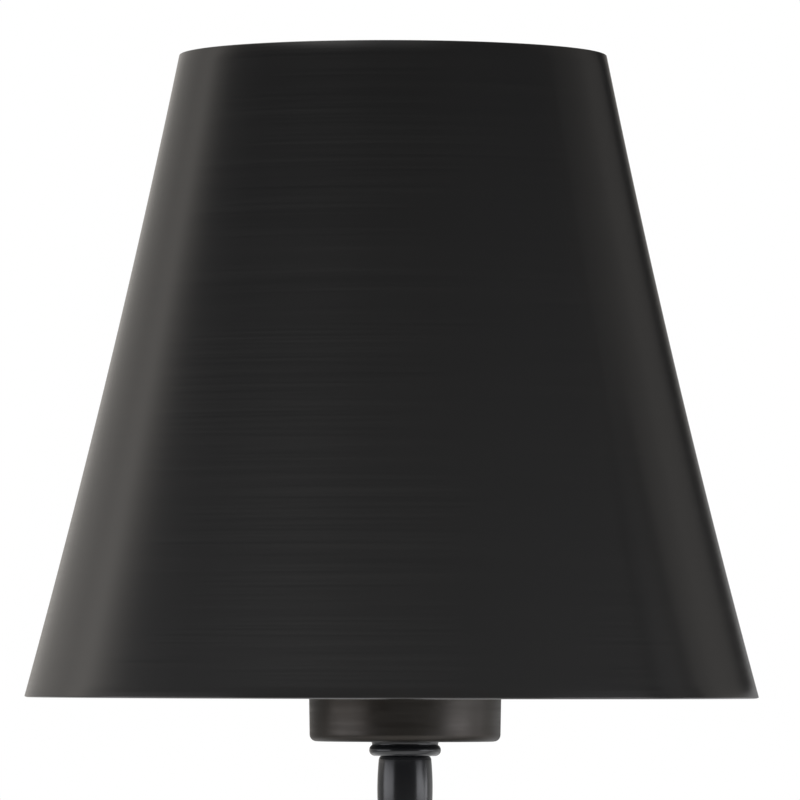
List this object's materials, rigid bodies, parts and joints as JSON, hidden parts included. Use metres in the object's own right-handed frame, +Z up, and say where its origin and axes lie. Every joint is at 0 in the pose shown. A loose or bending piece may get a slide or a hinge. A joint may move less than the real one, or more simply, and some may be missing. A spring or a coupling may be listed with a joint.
{
  "type": "linear chandelier",
  "caption": "Ceiling-hung linear chandelier: a straight bar on swivelling rods carries turned stems, each with a cup, a lamp socket, a bulb and a tapered dark metal shade.",
  "frame": {"origin": "middle of the mounting strap's top face, in the plane of the ceiling", "axes": "+X along the bar, +Y to the back, +Z up into the ceiling"},
  "size_m": [1.3524, 0.1524, 0.719],
  "materials": {
    "shade_bronze": "brushed dark bronze, satin",
    "cup_bronze": "dark bronze, satin",
    "stem_black": "blue-black, gloss",
    "frame_bronze": "dark bronze, satin",
    "zinc_steel": "zinc plated",
    "phenolic": "moulded, matt",
    "brass": "plain",
    "clear_glass": "clear",
    "black_insulation": "matt",
    "white_insulation": "matt",
    "bare_copper": "bare",
    "orange_plastic": "matt",
    "green_steel": "lacquered"
  },
  "bodies": {
    "canopy": {"canopy_shell": "frame_bronze", "mounting_strap": "zinc_steel", "canopy_screws": "zinc_steel", "strap_nuts": "zinc_steel", "canopy_knobs": "frame_bronze", "swivel_yoke_left": "frame_bronze", "swivel_yoke_right": "frame_bronze", "yoke_nuts": "zinc_steel", "pivot_screws": "frame_bronze", "ground_screw": "green_steel", "lead_live": "black_insulation", "lead_neutral": "white_insulation", "lead_ground": "bare_copper", "wire_connectors": "orange_plastic"},
    "fixture": {"swivel_ball_left": "frame_bronze", "swivel_ball_right": "frame_bronze", "upper_rod_left": "frame_bronze", "upper_rod_right": "frame_bronze", "rod_couplers": "frame_bronze", "lower_rod_left": "frame_bronze", "lower_rod_right": "frame_bronze", "rod_foot_left": "frame_bronze", "rod_foot_right": "frame_bronze", "main_bar": "frame_bronze", "bar_end_left": "frame_bronze", "bar_end_right": "frame_bronze", "drop_finials": "frame_bronze", "wires_live": "black_insulation", "wires_neutral": "white_insulation", "wire_ground": "bare_copper", "stem_1": "stem_black", "stem_2": "stem_black", "stem_3": "stem_black", "stem_4": "stem_black", "stem_5": "stem_black", "candle_cup_1": "cup_bronze", "candle_cup_2": "cup_bronze", "candle_cup_3": "cup_bronze", "candle_cup_4": "cup_bronze", "candle_cup_5": "cup_bronze", "lamp_sockets": "phenolic", "screw_shells": "brass", "centre_contacts": "brass", "ring_nuts": "phenolic", "shade_fitters": "zinc_steel", "shade_1": "shade_bronze", "shade_2": "shade_bronze", "shade_3": "shade_bronze", "shade_4": "shade_bronze", "shade_5": "shade_bronze"},
    "bulb_1": {"bulb_cap_1": "brass", "bulb_glass_1": "clear_glass"},
    "bulb_2": {"bulb_cap_2": "brass", "bulb_glass_2": "clear_glass"},
    "bulb_3": {"bulb_cap_3": "brass", "bulb_glass_3": "clear_glass"},
    "bulb_4": {"bulb_cap_4": "brass", "bulb_glass_4": "clear_glass"},
    "bulb_5": {"bulb_cap_5": "brass", "bulb_glass_5": "clear_glass"}
  },
  "joints": [
    {"name": "swivel_tilt", "type": "hinge", "parent": "canopy", "child": "fixture", "pos_m": [0, 0, -0.043], "axis": [1, 0, 0], "range_deg": [-45, 45]},
    {"name": "bulb_1_turn", "type": "hinge", "parent": "fixture", "child": "bulb_1", "pos_m": [-0.6, 0, -0.5758], "axis": [0, 0, 1], "range_deg": [0, 1080]},
    {"name": "bulb_2_turn", "type": "hinge", "parent": "fixture", "child": "bulb_2", "pos_m": [-0.3, 0, -0.5758], "axis": [0, 0, 1], "range_deg": [0, 1080]},
    {"name": "bulb_3_turn", "type": "hinge", "parent": "fixture", "child": "bulb_3", "pos_m": [0, 0, -0.5758], "axis": [0, 0, 1], "range_deg": [0, 1080]},
    {"name": "bulb_4_turn", "type": "hinge", "parent": "fixture", "child": "bulb_4", "pos_m": [0.3, 0, -0.5758], "axis": [0, 0, 1], "range_deg": [0, 1080]},
    {"name": "bulb_5_turn", "type": "hinge", "parent": "fixture", "child": "bulb_5", "pos_m": [0.6, 0, -0.5758], "axis": [0, 0, 1], "range_deg": [0, 1080]}
  ]
}
